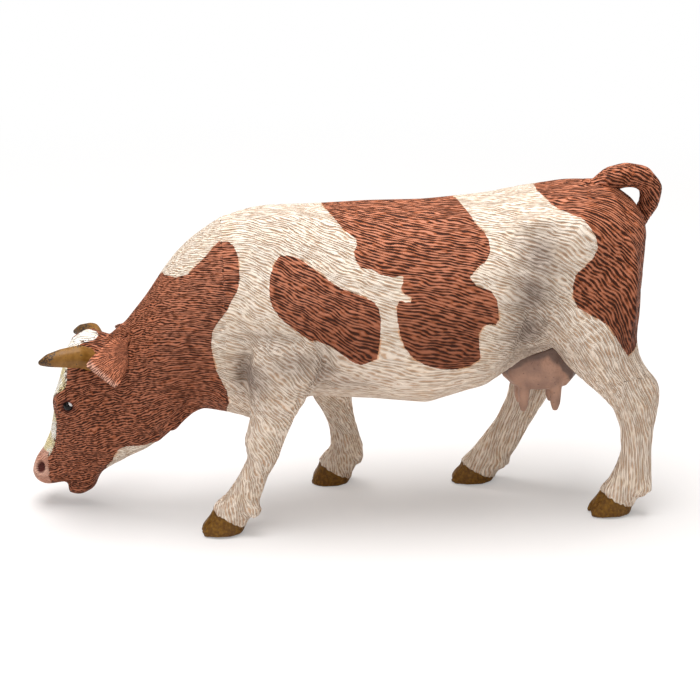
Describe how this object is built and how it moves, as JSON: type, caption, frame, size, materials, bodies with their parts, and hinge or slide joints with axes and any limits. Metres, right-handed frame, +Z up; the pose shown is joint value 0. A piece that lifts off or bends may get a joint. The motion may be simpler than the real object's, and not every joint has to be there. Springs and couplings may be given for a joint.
{
  "type": "cow figurine",
  "caption": "Walking, grazing dairy cow figurine with moulded hair, horns, looped tail and udder; it stands on flat hooves.",
  "frame": {"origin": "middle of the bounding box, on the floor under the hooves", "axes": "+Z up, -X the way the cow walks, so +X points out of its rump; +Y points to the cow's right"},
  "size_m": [0.1559, 0.0445, 0.0869],
  "materials": {
    "cream_coat": "matt paint on soft vinyl",
    "brown_coat": "matt paint on soft vinyl",
    "horn": "satin paint on soft vinyl",
    "udder_skin": "matt paint on soft vinyl"
  },
  "bodies": {
    "root": {"torso": "cream_coat", "head": "brown_coat", "left_horn": "horn", "right_horn": "horn", "left_ear": "brown_coat", "right_ear": "brown_coat", "udder": "udder_skin", "tail": "brown_coat", "front_left_leg": "cream_coat", "front_right_leg": "cream_coat", "rear_left_leg": "cream_coat", "rear_right_leg": "cream_coat"}
  },
  "joints": []
}
